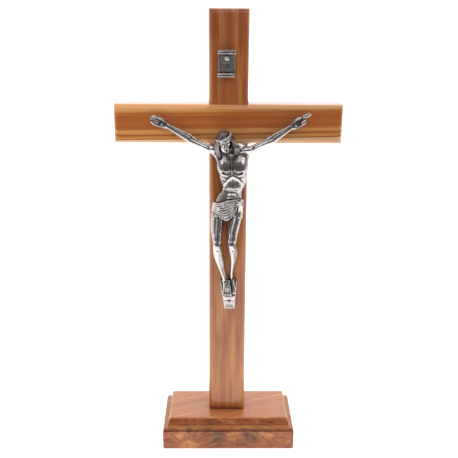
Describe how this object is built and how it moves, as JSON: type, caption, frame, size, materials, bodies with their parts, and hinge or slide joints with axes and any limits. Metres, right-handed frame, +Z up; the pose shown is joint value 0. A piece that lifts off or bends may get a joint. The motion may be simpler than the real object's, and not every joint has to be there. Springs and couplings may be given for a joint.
{
  "type": "standing crucifix",
  "caption": "Standing table crucifix: half-lapped olive-wood cross on a stepped wooden base, with a cast silver-coloured corpus and scroll plate pinned to its front.",
  "frame": {"origin": "centre of the footprint, on the base's underside", "axes": "+Z up the cross, +X along the crossbar towards the figure's left hand, the figure faces -Y"},
  "size_m": [0.1226, 0.04, 0.25],
  "materials": {
    "base_wood": "clear gloss lacquer on swirling olive burl",
    "upright_wood": "clear gloss lacquer, vertical grain",
    "crossbar_wood": "clear gloss lacquer, horizontal grain with dark and honey lines",
    "antique_silver": "antiqued silver plate: bright worn high points, dark recesses"
  },
  "bodies": {
    "root": {"base": "base_wood", "upright": "upright_wood", "crossbar": "crossbar_wood", "corpus": "antique_silver", "scroll_plate": "antique_silver", "nail_right_hand": "antique_silver", "nail_left_hand": "antique_silver", "nail_feet": "antique_silver", "pin_foot_plate": "antique_silver", "pin_scroll": "antique_silver"}
  },
  "joints": []
}
